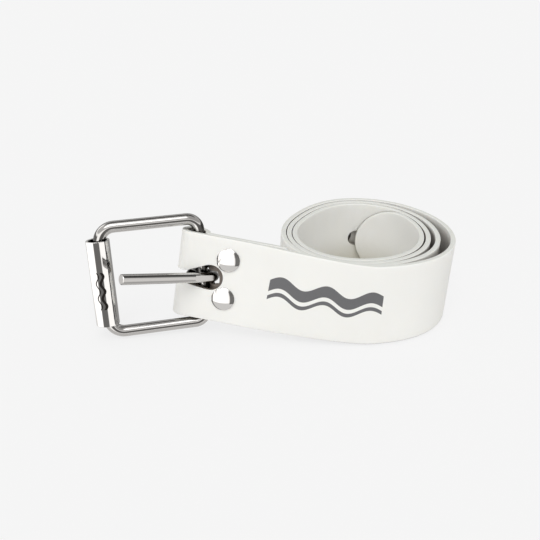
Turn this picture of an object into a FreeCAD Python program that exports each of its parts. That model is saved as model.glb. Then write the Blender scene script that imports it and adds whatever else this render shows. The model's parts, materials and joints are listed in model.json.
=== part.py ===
"""Dive weight belt: a rubber strap lying in a loose coil, with a roller buckle riveted into its end.

Millimetres, +Z up, +X away from the buckle. The origin is on the floor, at the middle of the
belt's footprint. The strap stands on its lower edge; only its buckle end is lifted off the floor.
"""
import FreeCAD, Part
import math
import os
import Sketcher
from FreeCAD import Placement, Rotation, Vector

UP = Vector(0, 0, 1)

doc = FreeCAD.newDocument("dive_weight_belt")

# --------------------------------------------------------------------------- driving dimensions

DIMENSIONS = [
    # strap
    ("belt_width", 50.0, "strap width"),
    ("belt_thickness", 3.0, "strap thickness"),
    ("tip_blunt", 3.0, "half height left at the very tip of the round tail"),
    ("tail_length", 32.0, "length of the round tail"),
    ("hole_radius", 5.3, "prong hole in the strap"),
    ("hole_spacing", 30.0, "distance between prong holes"),
    ("hole_count", 10.0, "number of prong holes"),
    ("first_hole", 256.0, "tail tip to first prong hole, along the strap"),
    # coil, seen from above; turns are counted clockwise from the back of the coil
    ("coil_x", 49.3, "coil centre"),
    ("coil_y", 11.5, "coil centre"),
    ("coil_radius", 38.6, "mid surface radius of the first turn"),
    ("coil_pitch", 3.5, "radius gained per turn"),
    ("oval_size", 3.5, "how far the coil is drawn out into an oval"),
    ("oval_angle", 61.0, "direction of the oval's long axis"),
    ("blunt_size", 1.05, "how far one end of the oval is blunter than the other"),
    ("blunt_angle", 327.0, "direction of one of the three blunt corners"),
    ("slack_size", 0.24, "how fast the turns open on the +X side"),
    ("coil_lift", 0.14, "how fast the outer turns climb off the floor"),
    ("floor_press", 0.1, "rubber pressed flat where the inner turns stand on the floor"),
    ("tail_turn", 0.01, "turn at the tail's tip"),
    ("leave_turn", 3.48, "turn at which the strap leaves the coil"),
    # fold around the rear bar of the buckle
    ("fold_x", -44.8, "mid surface of the front layer, at the rear bar"),
    ("fold_y", -32.8, "the same"),
    ("fold_z", 35.7, "the same"),
    ("fold_yaw", -7.4, "turn of the fold about Z"),
    ("fold_climb", 4.9, "climb of the strap at the fold"),
    ("fold_lean", 9.9, "backward lean of the strap at the fold"),
    ("fold_gap", 8.0, "clear gap inside the fold"),
    ("fold_nose", 7.1, "rear bar to the centre of the nose"),
    ("fold_close", 2.6, "radius with which the back layer meets the front layer"),
    ("layer_gap", 0.2, "gap left between the riveted layers"),
    ("front_straight", 22.0, "straight run of the front layer behind the rear bar"),
    ("back_layer", 47.0, "rear bar to the end of the back layer"),
    ("lead_start_pull", 16.7, "length of the lead curve's first handle"),
    ("lead_end_pull", 11.2, "length of the lead curve's last handle"),
    # keyhole slot
    ("slot_radius", 7.4, "round end of the slot"),
    ("slot_back", -6.2, "rear bar to the centre of the round end"),
    ("slot_across", 0.8, "centre of the round end, across the strap"),
    ("slot_point", 5.6, "rear bar to the narrow end of the taper"),
    ("prong_clearance", 0.5, "clearance between the prong and the strap"),
    ("prong_room_in", -45.0, "swing into the fold that the strap leaves the shank room for"),
    ("prong_room_out", 60.0, "swing out of the fold that the strap leaves the shank room for"),
    # buckle frame
    ("wire_radius", 3.3, "frame wire"),
    ("frame_length", 55.1, "rear bar to front bar"),
    ("frame_height", 61.0, "upper bar to lower bar"),
    ("front_bend", 8.5, "bend of the frame wire at the front bar, at its centre line"),
    ("rear_bend", 6.4, "bend of the frame wire at the rear bar, at its centre line"),
    ("bar_across", 2.0, "middle of the rear bar, across the strap"),
    ("bar_tilt", 12.3, "tilt of the rear bar in the plane of the strap"),
    ("frame_swing", 20.0, "swing of the frame out of the plane of the strap"),
    # roller
    ("roller_radius", 6.5, "outside of the roller"),
    ("roller_bore", 5.2, "inside of the roller"),
    ("roller_length", 49.0, "roller length"),
    ("roller_drop", 0.5, "how far the roller has slid down the front bar"),
    ("roller_hang", 0.75, "how far the loose roller hangs off the front bar's axis"),
    ("roller_seam", 0.6, "gap of the rolled tube's seam"),
    ("seam_turn", 37.0, "turn of the seam from the frame's face toward the rear bar"),
    ("roller_edge", 0.35, "rounded ends of the roller"),
    # prong
    ("prong_radius", 2.9, "prong rod"),
    ("prong_length", 54.0, "eye axis to tip"),
    ("eye_radius", 6.6, "centre line of the eye"),
    ("eye_wrap", 262.0, "how far the eye wraps round the bar"),
    ("prong_drop", 3.0, "eye below the middle of the rear bar"),
    ("prong_tilt", 11.5, "tilt of the prong, held in line with the strap"),
    ("prong_lift", 24.0, "lift of the prong off the plane of the frame"),
    ("prong_edge", 0.7, "rounded tip edge"),
    ("flat_length", 10.0, "eye axis to the end of the flat on the prong's face"),
    ("flat_depth", 0.45, "depth of the flat"),
    # rivets
    ("rivet_back", 15.3, "rear bar to the rivets"),
    ("rivet_upper", 12.7, "upper rivet, across the strap"),
    ("rivet_lower", -10.3, "lower rivet, across the strap"),
    ("cap_radius", 6.6, "rivet cap"),
    ("cap_height", 3.1, "rivet cap"),
    ("cap_rim", 0.7, "height of the cap's rim"),
    ("socket_radius", 2.05, "socket inside the cap"),
    ("socket_depth", 2.0, "socket inside the cap"),
    ("post_radius", 2.0, "rivet post"),
    ("post_head", 3.7, "head of the post, behind the strap"),
    ("post_head_height", 1.3, "head of the post"),
    ("post_length", 8.1, "rivet post, tip to head"),
    ("rivet_play", 0.02, "gap between rivet and strap"),
    ("rivet_hole", 2.3, "hole in the strap for a post"),
]

sheet = doc.addObject("Spreadsheet::Sheet", "dimensions")
for row, (alias, value, note) in enumerate(DIMENSIONS, start=1):
    sheet.set("A%d" % row, alias)
    sheet.set("B%d" % row, str(value))
    sheet.set("C%d" % row, note)
    sheet.setAlias("B%d" % row, alias)
doc.recompute()


def size(alias):
    """Value of one driving dimension."""
    return float(getattr(sheet, alias))


# ------------------------------------------------------------------------------ the strap's path

def coil_point(turn):
    """Middle of the strap at a turn of the coil, on its mid surface."""
    angle = 90.0 - 360.0 * turn
    radius = size("coil_radius") + size("coil_pitch") * turn
    radius += size("oval_size") * math.cos(2 * math.radians(angle - size("oval_angle")))
    radius += size("blunt_size") * math.cos(3 * math.radians(angle - size("blunt_angle")))
    facing_right = max(0.0, math.cos(math.radians(angle)))
    radius += size("slack_size") * max(0.0, turn) ** 3 * facing_right ** 2
    climb = size("coil_lift") * max(0.0, turn - 1.0) ** 2
    return Vector(size("coil_x") + radius * math.cos(math.radians(angle)),
                  size("coil_y") + radius * math.sin(math.radians(angle)),
                  size("belt_width") / 2 - size("floor_press") + climb)


def fold_axes():
    """Origin of the fold, with the directions along the strap, across it and out of its face."""
    yaw = math.radians(size("fold_yaw"))
    climb = math.radians(size("fold_climb"))
    level = Vector(-math.cos(yaw), -math.sin(yaw), 0)
    along = level * math.cos(climb) + UP * math.sin(climb)
    upright = UP * math.cos(climb) - level * math.sin(climb)
    lean = Rotation(along, size("fold_lean"))
    across = lean.multVec(upright)
    outward = across.cross(along)
    origin = Vector(size("fold_x"), size("fold_y"), size("fold_z"))
    return origin, along, across, outward


ORIGIN, ALONG, ACROSS, OUTWARD = fold_axes()


def in_fold(along, across, outward):
    """Point given in the directions of the fold."""
    return ORIGIN + ALONG * along + ACROSS * across + OUTWARD * outward


def lead_curve():
    """Curve of the strap from the coil to the straight run at the fold."""
    step = 1e-4
    start = coil_point(size("leave_turn"))
    heading = (coil_point(size("leave_turn") + step) - start).normalize()
    finish = in_fold(-size("front_straight"), 0, 0)
    curve = Part.BezierCurve()
    curve.setPoles([start,
                    start + heading * size("lead_start_pull"),
                    finish - ALONG * size("lead_end_pull"),
                    finish])
    return curve


def station(middle, ruling, outward, skew=None):
    """Four corners of the strap's section: lower outer, upper outer, upper inner, lower inner."""
    half = outward * (size("belt_thickness") / 2)
    lower = middle - ruling
    upper = middle + ruling
    if skew is not None:
        lower = lower - skew
        upper = upper + skew
    return [lower + half, upper + half, upper - half, lower - half]


def tail_stations():
    """Round tail, from its tip to full width."""
    width = size("belt_width") / 2
    first = math.degrees(math.asin(size("tip_blunt") / width))
    turn_per_mm = 1.0 / (2 * math.pi * (size("coil_radius") - size("oval_size") / 2))
    found = []
    for degrees in [first] + list(range(18, 90, 9)):
        height = width * math.sin(math.radians(degrees))
        distance = size("tail_length") * (1 - math.cos(math.radians(degrees)))
        found.append((size("tail_turn") + distance * turn_per_mm, height))
    return found, size("tail_turn") + size("tail_length") * turn_per_mm


def coil_stations(per_turn=24):
    """Sections of the coil, standing upright on the floor."""
    step = 1e-4
    tail, full_width_turn = tail_stations()
    count = int((size("leave_turn") - full_width_turn) * per_turn)
    turns = tail + [(full_width_turn + (size("leave_turn") - full_width_turn) * i / count,
                     size("belt_width") / 2) for i in range(count)]
    sections = []
    for turn, height in turns:
        middle = coil_point(turn)
        heading = coil_point(turn + step) - coil_point(turn - step)
        outward = UP.cross(heading).normalize()
        sections.append(station(middle, UP * height, outward))
    return sections


def lead_stations(count=12):
    """Sections of the lead, turning from upright to the lean of the fold."""
    curve = lead_curve()
    sections = []
    for i in range(count):
        part = i / count
        heading = Vector(*curve.tangent(part)[0])
        blend = part * part * (3 - 2 * part)
        ruling = UP * (1 - blend) + ACROSS * blend
        ruling = (ruling - heading * ruling.dot(heading)).normalize()
        sections.append(station(curve.value(part), ruling * (size("belt_width") / 2),
                                ruling.cross(heading)))
    return sections


def fold_stations():
    """Sections of the front layer, the nose and the back layer that wraps the rear bar."""
    width = ACROSS * (size("belt_width") / 2)
    mid_radius = (size("fold_gap") + size("belt_thickness")) / 2
    sections = []
    for i in range(10):
        along = -size("front_straight") + (size("front_straight") + size("fold_nose")) * i / 10
        sections.append(station(in_fold(along, 0, 0), width, OUTWARD))
    for degrees in range(0, 181, 20):
        outward = OUTWARD * math.cos(math.radians(degrees)) + ALONG * math.sin(math.radians(degrees))
        middle = in_fold(size("fold_nose"), 0, -mid_radius) + outward * mid_radius
        sections.append(station(middle, width, outward))

    # behind the nose the sections turn until they lie along the tilted rear bar
    slope = math.tan(math.radians(size("bar_tilt")))
    close = size("fold_close")
    rise = mid_radius - size("belt_thickness") - size("layer_gap")
    reach = math.sqrt((mid_radius + close) ** 2 - (rise - close) ** 2)
    meet = math.degrees(math.atan2(reach, close - rise))

    def wrapped(behind, depth, turned):
        outward = -OUTWARD * math.cos(math.radians(turned)) - ALONG * math.sin(math.radians(turned))
        middle = in_fold(-behind - slope * size("bar_across"), 0, depth - mid_radius)
        return station(middle, width, outward, ALONG * (slope * size("belt_width") / 2))

    for turned in [0, meet / 3, 2 * meet / 3, meet]:
        angle = math.radians(turned)
        sections.append(wrapped(mid_radius * math.sin(angle), -mid_radius * math.cos(angle), turned))
    for turned in [2 * meet / 3, meet / 3, 0]:
        angle = math.radians(turned)
        sections.append(wrapped(reach - close * math.sin(angle),
                                rise - close + close * math.cos(angle), turned))
    lying = -size("belt_thickness") - size("layer_gap")
    closed = reach + slope * size("bar_across")
    for i in range(1, 13):
        share = (i / 12) ** 1.5
        along = -closed - (size("back_layer") - closed) * share
        skew = ALONG * (slope * size("belt_width") / 2 * (1 - share))
        sections.append(station(in_fold(along, 0, lying), width, -OUTWARD, skew))
    return sections


# --------------------------------------------------------------------------------- strap solids

def solid_through(sections, sections_per_face=6):
    """Closed solid whose four long edges run through the corners of the sections."""
    distances = [0.0]
    for before, after in zip(sections, sections[1:]):
        distances.append(distances[-1] + max((b - a).Length for a, b in zip(before, after)))
    rails = []
    for corner in range(4):
        rail = Part.BSplineCurve()
        rail.interpolate(Points=[section[corner] for section in sections], Parameters=distances)
        rails.append(rail)
    joints = distances[:-1:sections_per_face] + distances[-1:]
    faces = [Part.Face(Part.makePolygon(section + section[:1])) for section in (sections[0], sections[-1])]
    for first, last in zip(joints, joints[1:]):
        edges = [rail.toShape(first, last) for rail in rails]
        faces += [Part.makeRuledSurface(edges[i], edges[(i + 1) % 4]) for i in range(4)]
    shell = Part.makeShell(faces)
    shell.sewShape()
    return Part.makeSolid(Part.Shell(shell.Faces))


def turn_at(distance):
    """Turn of the coil that lies a distance along the strap from the tail's tip."""
    turn = size("tail_turn")
    step = 0.002
    walked = 0.0
    while walked < distance:
        walked += (coil_point(turn + step) - coil_point(turn)).Length
        turn += step
    return turn


def prong_hole_tools():
    """Round punches for the row of prong holes."""
    step = 1e-4
    reach = size("coil_pitch") / 2
    tools = []
    for number in range(int(size("hole_count"))):
        turn = turn_at(size("first_hole") + number * size("hole_spacing"))
        heading = coil_point(turn + step) - coil_point(turn - step)
        outward = UP.cross(heading).normalize()
        tools.append(Part.makeCylinder(size("hole_radius"), 2 * reach,
                                       coil_point(turn) - outward * reach, outward))
    return tools


def rivet_hole_tools():
    """Holes through both layers for the rivet posts."""
    length = 4 * size("belt_thickness")
    return [Part.makeCylinder(size("rivet_hole"), length,
                              in_fold(-size("rivet_back"), across, size("belt_thickness")), -OUTWARD)
            for across in (size("rivet_upper"), size("rivet_lower"))]


def bar_axes():
    """Middle of the rear bar, its direction, and the frame's direction and face."""
    middle = in_fold(0, size("bar_across"), -(size("fold_gap") + size("belt_thickness")) / 2)
    tilt = Rotation(OUTWARD, size("bar_tilt"))
    upward = tilt.multVec(ACROSS)
    swing = Rotation(upward, size("frame_swing"))
    forward = swing.multVec(tilt.multVec(ALONG))
    return middle, upward, forward, upward.cross(forward)


BAR, BAR_UP, FRAME_FORWARD, FRAME_FACE = bar_axes()


def keyhole_tool():
    """Round end and taper of the prong's slot, through the front layer only."""
    radius = size("slot_radius")
    narrow = size("prong_radius") + size("prong_clearance")
    front = size("belt_thickness")
    across = size("slot_across")
    taper = math.asin((radius - narrow) / (size("slot_point") - size("slot_back")))
    tangent_along = size("slot_back") + radius * math.sin(taper)
    tangent_across = radius * math.cos(taper)
    lower = in_fold(size("slot_point"), across - narrow, front)
    upper = in_fold(size("slot_point"), across + narrow, front)
    upper_tangent = in_fold(tangent_along, across + tangent_across, front)
    lower_tangent = in_fold(tangent_along, across - tangent_across, front)
    rear = in_fold(size("slot_back") - radius, across, front)
    outline = Part.Wire([Part.makeLine(lower, upper),
                         Part.makeLine(upper, upper_tangent),
                         Part.Arc(upper_tangent, rear, lower_tangent).toShape(),
                         Part.makeLine(lower_tangent, lower)])
    return Part.Face(outline).extrude(-OUTWARD * (1.5 * front + size("layer_gap") / 2))


def prong_path_tools():
    """Room for the eye all round the bar, and for the shank as it swings through the nose."""
    tilt = math.radians(size("prong_tilt"))
    eye = size("eye_radius")
    outside = eye + size("prong_radius") + size("prong_clearance")
    far = size("fold_nose") + size("fold_gap") + 3 * size("belt_thickness")
    foot = BAR - BAR_UP * size("prong_drop")
    level = Rotation(BAR_UP, -size("frame_swing")).multVec(FRAME_FORWARD)

    def turned(profile, first, last):
        start = Rotation(BAR_UP, first).multVec(level)
        corners = [foot + start * reach + BAR_UP * height for reach, height in profile]
        return Part.Face(Part.makePolygon(corners + corners[:1])).revolve(foot, BAR_UP, last - first)

    def shank_height(reach):
        return math.tan(tilt) * math.sqrt(reach ** 2 - eye ** 2)

    half_eye = eye * math.sin(tilt) + size("prong_radius") + size("prong_clearance")
    half_shank = (size("prong_radius") + size("prong_clearance")) / math.cos(tilt)
    near = eye + size("prong_radius")
    eye_room = [(0, -half_eye), (outside, -half_eye), (outside, half_eye), (0, half_eye)]
    shank_room = [(near, shank_height(near) - half_shank), (far, shank_height(far) - half_shank),
                  (far, shank_height(far) + half_shank), (near, shank_height(near) + half_shank)]
    return [turned(eye_room, 0, 360),
            turned(shank_room, size("prong_room_in"), size("prong_room_out"))]


def floor_tool():
    """Slab under the floor, as wide as the coil, that leaves the strap a flat foot."""
    reach = 2 * size("coil_radius")
    corner = Vector(size("coil_x") - reach, size("coil_y") - reach, -size("belt_width"))
    return Part.makeBox(2 * reach, 2 * reach, size("belt_width"), corner)


def make_strap():
    """The whole strap as one moulded piece."""
    solid = solid_through(coil_stations() + lead_stations() + fold_stations())
    tools = prong_hole_tools() + rivet_hole_tools() + [keyhole_tool()] + prong_path_tools()
    for tool in tools + [floor_tool()]:
        solid = solid.cut(tool)
    return solid


strap = doc.addObject("Part::Feature", "strap")
strap.Shape = make_strap()
strap.Label = "strap"

# ------------------------------------------------------------------------- sketches and placements


def new_body(name):
    """Empty body that carries one piece."""
    body = doc.addObject("PartDesign::Body", name)
    body.Label = name
    return body


def new_sketch(body, name, role):
    """Sketch on one of the body's own origin planes."""
    plane = [item for item in body.Origin.OriginFeatures if item.Role == role][0]
    sketch = body.newObject("Sketcher::SketchObject", name)
    sketch.AttachmentSupport = [(plane, "")]
    sketch.MapMode = "FlatFace"
    return sketch


def bind(sketch, constraint, formula):
    """Add a dimension to a sketch and drive it from the sheet."""
    index = sketch.addConstraint(constraint)
    sketch.setExpression("Constraints[%d]" % index, formula)


def line(sketch, start, end):
    """Line in a sketch, from one point to another."""
    return sketch.addGeometry(Part.LineSegment(Vector(*start, 0), Vector(*end, 0)))


def arc(sketch, centre, radius, first, last):
    """Arc in a sketch, counter-clockwise between two angles in degrees."""
    circle = Part.Circle(Vector(*centre, 0), UP, radius)
    return sketch.addGeometry(Part.ArcOfCircle(circle, math.radians(first), math.radians(last)))


def rectangle(sketch, low, high):
    """Rectangle as the sketch's first four lines: low side, far side, high side, near side."""
    corners = [low, (high[0], low[1]), high, (low[0], high[1])]
    sides = [line(sketch, start, end) for start, end in zip(corners, corners[1:] + corners[:1])]
    for before, after in zip(sides, sides[1:] + sides[:1]):
        sketch.addConstraint(Sketcher.Constraint("Coincident", before, 2, after, 1))
    for side, kind in zip(sides, ("Horizontal", "Vertical", "Horizontal", "Vertical")):
        sketch.addConstraint(Sketcher.Constraint(kind, side))


def place(body, origin, x_axis, z_axis):
    """Stand a body in the assembly by its origin and two of its axes."""
    matrix = FreeCAD.Matrix()
    for column, axis in enumerate((x_axis, z_axis.cross(x_axis), z_axis)):
        for row, value in enumerate(axis):
            setattr(matrix, "A%d%d" % (row + 1, column + 1), value)
    body.Placement = Placement(origin, Rotation(matrix))


# ----------------------------------------------------------------------------------- buckle frame

def make_frame():
    """Rectangle of round wire with bent corners, welded into one loop."""
    body = new_body("buckle_frame")
    length, half = size("frame_length"), size("frame_height") / 2
    front, rear = size("front_bend"), size("rear_bend")
    path = new_sketch(body, "frame_path", "XZ_Plane")
    loop = [line(path, (0, 0), (0, half - rear)),
            arc(path, (rear, half - rear), rear, 90, 180),
            line(path, (rear, half), (length - front, half)),
            arc(path, (length - front, half - front), front, 0, 90),
            line(path, (length, half - front), (length, front - half)),
            arc(path, (length - front, front - half), front, 270, 360),
            line(path, (length - front, -half), (rear, -half)),
            arc(path, (rear, rear - half), rear, 180, 270),
            line(path, (0, rear - half), (0, 0))]
    # a line is drawn start to end; an arc drawn counter-clockwise is walked from its end to its start
    for before, after in zip(loop, loop[1:]):
        leaving = 2 if before % 2 == 0 else 1
        entering = 1 if after % 2 == 0 else 2
        path.addConstraint(Sketcher.Constraint("Tangent", before, leaving, after, entering))
    path.addConstraint(Sketcher.Constraint("Coincident", loop[0], 1, -1, 1))
    path.addConstraint(Sketcher.Constraint("Coincident", loop[-1], 2, -1, 1))
    for edge in (loop[0], loop[4], loop[8]):
        path.addConstraint(Sketcher.Constraint("Vertical", edge))
    for edge in (loop[2], loop[6]):
        path.addConstraint(Sketcher.Constraint("Horizontal", edge))
    for corner, bend in zip(loop[1::2], ("rear_bend", "front_bend", "front_bend", "rear_bend")):
        bind(path, Sketcher.Constraint("Radius", corner, size(bend)), "dimensions." + bend)
    bind(path, Sketcher.Constraint("DistanceX", -1, 1, loop[4], 1, length), "dimensions.frame_length")
    bind(path, Sketcher.Constraint("DistanceY", -1, 1, loop[2], 1, half), "dimensions.frame_height / 2")
    bind(path, Sketcher.Constraint("DistanceY", loop[6], 1, -1, 1, half), "dimensions.frame_height / 2")
    wire = new_sketch(body, "frame_wire", "XY_Plane")
    wire.addGeometry(Part.Circle(Vector(0, 0, 0), UP, size("wire_radius")))
    wire.addConstraint(Sketcher.Constraint("Coincident", 0, 3, -1, 1))
    bind(wire, Sketcher.Constraint("Radius", 0, size("wire_radius")), "dimensions.wire_radius")
    doc.recompute()
    sweep = body.newObject("PartDesign::AdditivePipe", "frame_sweep")
    sweep.Profile = wire
    sweep.Spine = (path, ["Edge%d" % (i + 1) for i in range(len(loop))])
    place(body, BAR, FRAME_FORWARD, BAR_UP)
    return body


# ----------------------------------------------------------------------------------------- roller

def make_roller():
    """Rolled tube with a lengthwise seam, loose on the front bar."""
    body = new_body("roller")
    section = new_sketch(body, "roller_section", "XY_Plane")
    for index, alias in enumerate(("roller_radius", "roller_bore")):
        section.addGeometry(Part.Circle(Vector(0, 0, 0), UP, size(alias)))
        section.addConstraint(Sketcher.Constraint("Coincident", index, 3, -1, 1))
        bind(section, Sketcher.Constraint("Radius", index, size(alias)), "dimensions." + alias)
    tube = body.newObject("PartDesign::Pad", "roller_tube")
    tube.Profile = section
    tube.SideType = "Symmetric"
    tube.setExpression("Length", "dimensions.roller_length")
    doc.recompute()
    rims = ["Edge%d" % (i + 1) for i, edge in enumerate(tube.Shape.Edges)
            if edge.Curve.TypeId == "Part::GeomCircle"]
    edges = body.newObject("PartDesign::Fillet", "roller_edges")
    edges.Base = (tube, rims)
    edges.setExpression("Radius", "dimensions.roller_edge")
    doc.recompute()
    slit = new_sketch(body, "roller_slit", "XY_Plane")
    half, far = size("roller_seam") / 2, size("roller_radius") + 1
    rectangle(slit, (0, -half), (far, half))
    slit.addConstraint(Sketcher.Constraint("PointOnObject", 0, 1, -2))
    bind(slit, Sketcher.Constraint("DistanceY", 0, 1, -1, 1, half), "dimensions.roller_seam / 2")
    bind(slit, Sketcher.Constraint("DistanceY", -1, 1, 2, 1, half), "dimensions.roller_seam / 2")
    bind(slit, Sketcher.Constraint("DistanceX", 0, 1, 0, 2, far), "dimensions.roller_radius + 1")
    cut = body.newObject("PartDesign::Pocket", "roller_cut")
    cut.Profile = slit
    cut.SideType = "Symmetric"
    cut.setExpression("Length", "2 * dimensions.roller_length")
    centre = BAR + FRAME_FORWARD * (size("frame_length") + size("roller_hang"))
    seam = Rotation(BAR_UP, size("seam_turn")).multVec(FRAME_FACE)
    place(body, centre - BAR_UP * size("roller_drop"), seam, BAR_UP)
    return body


# ------------------------------------------------------------------------------------------ prong

def make_prong():
    """Round rod whose end is bent into an open eye round the rear bar."""
    body = new_body("prong")
    length, eye = size("prong_length"), size("eye_radius")
    path = new_sketch(body, "prong_path", "XY_Plane")
    shank = line(path, (length, eye), (0, eye))
    curl = arc(path, (0, 0), eye, 90, 90 + size("eye_wrap"))
    path.addConstraint(Sketcher.Constraint("Tangent", shank, 2, curl, 1))
    path.addConstraint(Sketcher.Constraint("Horizontal", shank))
    path.addConstraint(Sketcher.Constraint("Coincident", curl, 3, -1, 1))
    bind(path, Sketcher.Constraint("Radius", curl, eye), "dimensions.eye_radius")
    bind(path, Sketcher.Constraint("DistanceX", shank, 2, shank, 1, length), "dimensions.prong_length")
    bind(path, Sketcher.Constraint("Angle", curl, math.radians(size("eye_wrap"))),
         "dimensions.eye_wrap * 1 deg")
    rod = new_sketch(body, "prong_rod", "YZ_Plane")
    rod.AttachmentOffset = Placement(Vector(0, 0, length), Rotation())
    rod.setExpression(".AttachmentOffset.Base.z", "dimensions.prong_length * 1 mm")
    rod.addGeometry(Part.Circle(Vector(eye, 0, 0), UP, size("prong_radius")))
    rod.addConstraint(Sketcher.Constraint("PointOnObject", 0, 3, -1))
    bind(rod, Sketcher.Constraint("DistanceX", -1, 1, 0, 3, eye), "dimensions.eye_radius")
    bind(rod, Sketcher.Constraint("Radius", 0, size("prong_radius")), "dimensions.prong_radius")
    doc.recompute()
    sweep = body.newObject("PartDesign::AdditivePipe", "prong_sweep")
    sweep.Profile = rod
    sweep.Spine = (path, ["Edge1", "Edge2"])
    doc.recompute()
    ends = ["Edge%d" % (i + 1) for i, edge in enumerate(sweep.Shape.Edges)
            if edge.isClosed() and edge.Vertexes[0].Point.x > length - 1]
    tip = body.newObject("PartDesign::Fillet", "prong_tip")
    tip.Base = (sweep, ends)
    tip.setExpression("Radius", "dimensions.prong_edge")
    side = new_sketch(body, "prong_flat_side", "XY_Plane")
    top = eye + size("prong_radius")
    rectangle(side, (-eye, top - size("flat_depth")), (size("flat_length"), top + 1))
    bind(side, Sketcher.Constraint("DistanceX", 0, 1, -1, 1, eye), "dimensions.eye_radius")
    bind(side, Sketcher.Constraint("DistanceX", -1, 1, 1, 1, size("flat_length")),
         "dimensions.flat_length")
    bind(side, Sketcher.Constraint("DistanceY", -1, 1, 0, 1, top - size("flat_depth")),
         "dimensions.eye_radius + dimensions.prong_radius - dimensions.flat_depth")
    bind(side, Sketcher.Constraint("DistanceY", -1, 1, 2, 1, top + 1),
         "dimensions.eye_radius + dimensions.prong_radius + 1")
    flat = body.newObject("PartDesign::Pocket", "prong_flat")
    flat.Profile = side
    flat.SideType = "Symmetric"
    flat.setExpression("Length", "4 * dimensions.prong_radius")
    forward = Rotation(BAR_UP, size("prong_lift")).multVec(FRAME_FORWARD)
    tilt = math.radians(size("prong_tilt"))
    place(body, BAR - BAR_UP * size("prong_drop"),
          forward * math.cos(tilt) + BAR_UP * math.sin(tilt),
          BAR_UP * math.cos(tilt) - forward * math.sin(tilt))
    return body


# ----------------------------------------------------------------------------------------- rivets

def make_domed(name, corners, side_formulas, foot_formula, crown_formula):
    """Turned piece whose outline runs from the foot of its dome round to the crown.

    Corners are (radius, height). A side without a formula lies on one of the axes.
    """
    body = new_body(name)
    outline = new_sketch(body, name + "_outline", "XZ_Plane")
    sides = [line(outline, start, end) for start, end in zip(corners, corners[1:])]
    for before, after in zip(sides, sides[1:]):
        outline.addConstraint(Sketcher.Constraint("Coincident", before, 2, after, 1))
    for side, (radius, height), (next_radius, _), formula in zip(sides, corners, corners[1:],
                                                                side_formulas):
        upright = radius == next_radius
        outline.addConstraint(Sketcher.Constraint("Vertical" if upright else "Horizontal", side))
        if formula is None:
            axis = -2 if upright else -1
            outline.addConstraint(Sketcher.Constraint("PointOnObject", side, 1, axis))
        elif upright:
            bind(outline, Sketcher.Constraint("DistanceX", -1, 1, side, 1, radius), formula)
        else:
            bind(outline, Sketcher.Constraint("DistanceY", -1, 1, side, 1, height), formula)
    foot, crown = corners[0], corners[-1]
    drop = crown[1] - foot[1]
    radius = (foot[0] ** 2 + drop ** 2) / (2 * drop)
    lowest = math.degrees(math.acos(foot[0] / radius))
    dome = arc(outline, (0, crown[1] - radius), radius, lowest, 90)
    outline.addConstraint(Sketcher.Constraint("Coincident", dome, 1, sides[0], 1))
    outline.addConstraint(Sketcher.Constraint("Coincident", dome, 2, sides[-1], 2))
    outline.addConstraint(Sketcher.Constraint("PointOnObject", dome, 3, -2))
    if corners[0][0] == corners[1][0]:
        bind(outline, Sketcher.Constraint("DistanceY", -1, 1, sides[0], 1, foot[1]), foot_formula)
    else:
        bind(outline, Sketcher.Constraint("DistanceX", -1, 1, sides[0], 1, foot[0]), foot_formula)
    bind(outline, Sketcher.Constraint("DistanceY", -1, 1, sides[-1], 2, crown[1]), crown_formula)
    turn = body.newObject("PartDesign::Revolution", name + "_turn")
    turn.Profile = outline
    turn.ReferenceAxis = (outline, ["V_Axis"])
    turn.Angle = 360
    return body


def make_rivet_cap(name, across):
    """Shallow dome with a thin rim, and a socket underneath for the post."""
    radius, rim = size("cap_radius"), size("cap_rim")
    socket, depth = size("socket_radius"), size("socket_depth")
    body = make_domed(name,
                      [(radius, rim), (radius, 0), (socket, 0), (socket, depth), (0, depth),
                       (0, size("cap_height"))],
                      ["dimensions.cap_radius", None, "dimensions.socket_radius",
                       "dimensions.socket_depth", None],
                      "dimensions.cap_rim", "dimensions.cap_height")
    front_face = size("belt_thickness") / 2 + size("rivet_play")
    place(body, in_fold(-size("rivet_back"), across, front_face), ALONG, OUTWARD)
    return body


def make_rivet_post(name, across):
    """Post pushed through both layers from behind, with a low domed head."""
    head, shank, length = size("post_head"), size("post_radius"), size("post_length")
    body = make_domed(name,
                      [(head, length), (shank, length), (shank, 0), (0, 0),
                       (0, length + size("post_head_height"))],
                      ["dimensions.post_length", "dimensions.post_radius", None, None],
                      "dimensions.post_head", "dimensions.post_length + dimensions.post_head_height")
    back_face = -1.5 * size("belt_thickness") - size("layer_gap") - size("rivet_play")
    place(body, in_fold(-size("rivet_back"), across, back_face + length), ALONG, -OUTWARD)
    return body


# --------------------------------------------------------------------------------- build and save

pieces = [strap, make_frame(), make_roller(), make_prong()]
for level in ("upper", "lower"):
    pieces.append(make_rivet_cap(level + "_rivet_cap", size("rivet_" + level)))
    pieces.append(make_rivet_post(level + "_rivet_post", size("rivet_" + level)))
doc.recompute()

for item in doc.Objects:
    if "Invalid" in item.State or "Error" in item.State:
        raise RuntimeError("%s failed to build: %s" % (item.Name, item.State))

os.makedirs("parts", exist_ok=True)
for piece in pieces:
    if piece.Shape.isNull() or not piece.Shape.isValid():
        raise RuntimeError("%s is not a valid solid" % piece.Name)
    piece.Shape.exportStep("parts/%s.step" % piece.Label)
    box = piece.Shape.BoundBox
    print("%-18s %6.1f x %6.1f x %6.1f mm" % (piece.Label, box.XLength, box.YLength, box.ZLength))
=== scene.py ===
"""Looks of the dive weight belt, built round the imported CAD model.

Metres, in the CAD's frame. The rubber strap is made flat, with its holes and rounded edges, and then
laid along the belt's path. The steel pieces keep their CAD shapes and get their materials here.
"""
import json
import math

import bpy
import numpy as np
from mathutils import Matrix, Vector
from mathutils.geometry import delaunay_2d_cdt


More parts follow.
